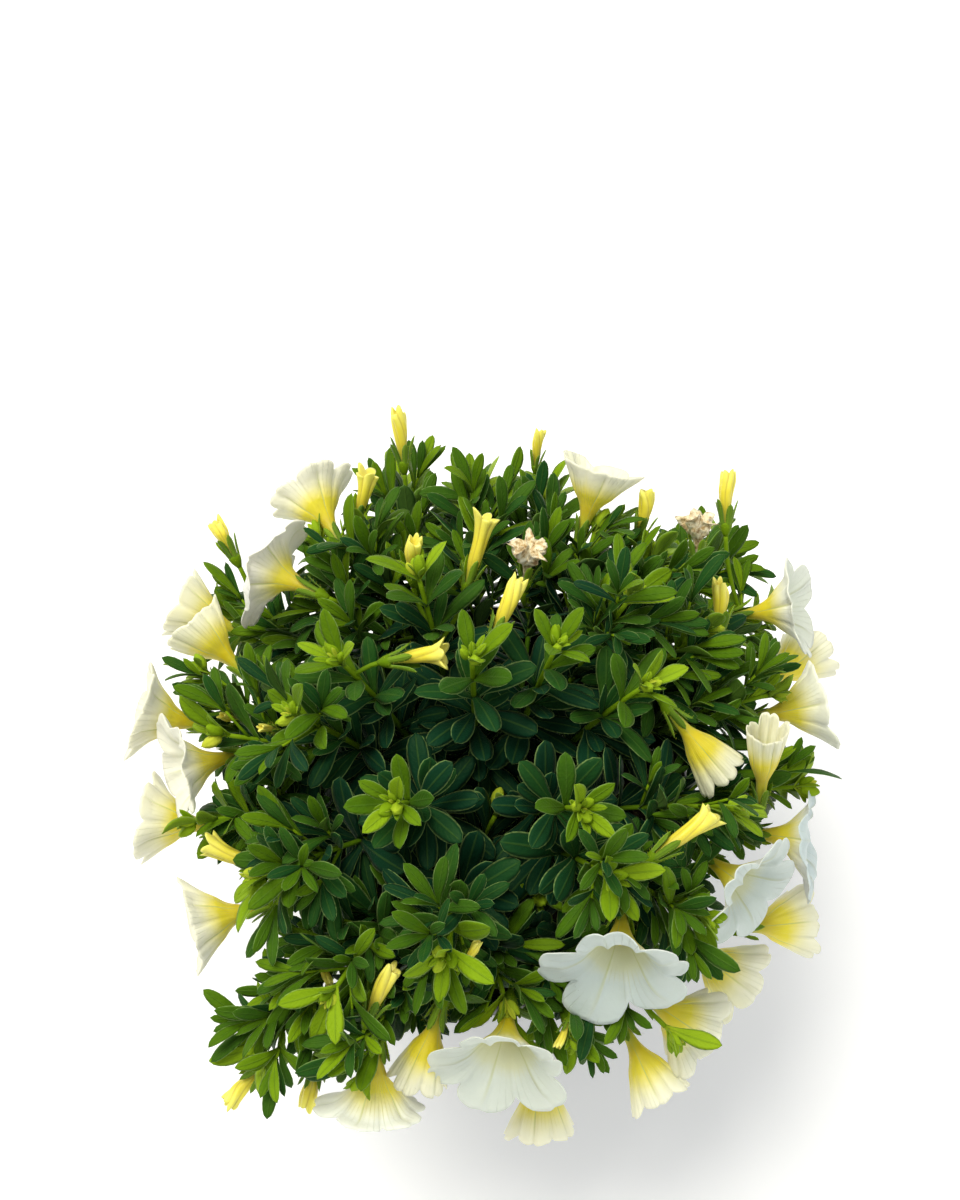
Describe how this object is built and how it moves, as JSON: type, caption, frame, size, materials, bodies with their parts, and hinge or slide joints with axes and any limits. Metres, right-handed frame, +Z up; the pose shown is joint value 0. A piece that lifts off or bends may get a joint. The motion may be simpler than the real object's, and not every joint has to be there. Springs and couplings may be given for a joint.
{
  "type": "potted calibrachoa",
  "caption": "Mounded bedding plant with white funnel flowers and yellow buds on leafy stems, rooted in soil in a plain dark nursery pot.",
  "frame": {"origin": "middle of the pot's flat base, on the surface that the pot stands on", "axes": "+Z up along the pot's axis, -Y towards the viewer, +X to the viewer's right"},
  "size_m": [0.2046, 0.2015, 0.1746],
  "materials": {
    "pot": "thin dark nursery plastic, slightly scuffed",
    "soil": "moist peat and bark crumbs",
    "foliage": "soft downy leaves, lime green when young and blue green when old",
    "corolla": "thin white petals with a satin sheen and a yellow throat",
    "bud": "furled pale yellow petals",
    "withered": "dry crumpled cream and brown petals"
  },
  "bodies": {
    "root": {"pot": "pot", "soil": "soil", "leafy_stem_01": "foliage", "leafy_stem_02": "foliage", "leafy_stem_03": "foliage", "leafy_stem_04": "foliage", "leafy_stem_05": "foliage", "leafy_stem_06": "foliage", "leafy_stem_07": "foliage", "leafy_stem_08": "foliage", "leafy_stem_09": "foliage", "leafy_stem_10": "foliage", "leafy_stem_11": "foliage", "leafy_stem_12": "foliage", "leafy_stem_13": "foliage", "leafy_stem_14": "foliage", "leafy_stem_15": "foliage", "leafy_stem_16": "foliage", "leafy_stem_17": "foliage", "corolla_01": "corolla", "corolla_02": "corolla", "corolla_03": "corolla", "corolla_04": "corolla", "corolla_05": "corolla", "corolla_06": "corolla", "corolla_07": "corolla", "corolla_08": "corolla", "corolla_09": "corolla", "corolla_10": "corolla", "corolla_11": "corolla", "corolla_12": "corolla", "corolla_13": "corolla", "corolla_14": "corolla", "corolla_15": "corolla", "corolla_16": "corolla", "corolla_17": "corolla", "corolla_18": "corolla", "corolla_19": "corolla", "corolla_20": "corolla", "corolla_21": "corolla", "corolla_22": "corolla", "corolla_23": "corolla", "corolla_24": "corolla", "corolla_25": "corolla", "yellow_bud_01": "bud", "yellow_bud_02": "bud", "yellow_bud_03": "bud", "yellow_bud_04": "bud", "yellow_bud_05": "bud", "yellow_bud_06": "bud", "yellow_bud_07": "bud", "yellow_bud_08": "bud", "yellow_bud_09": "bud", "yellow_bud_10": "bud", "yellow_bud_11": "bud", "yellow_bud_12": "bud", "yellow_bud_13": "bud", "yellow_bud_14": "bud", "withered_flower_1": "withered", "withered_flower_2": "withered"}
  },
  "joints": []
}
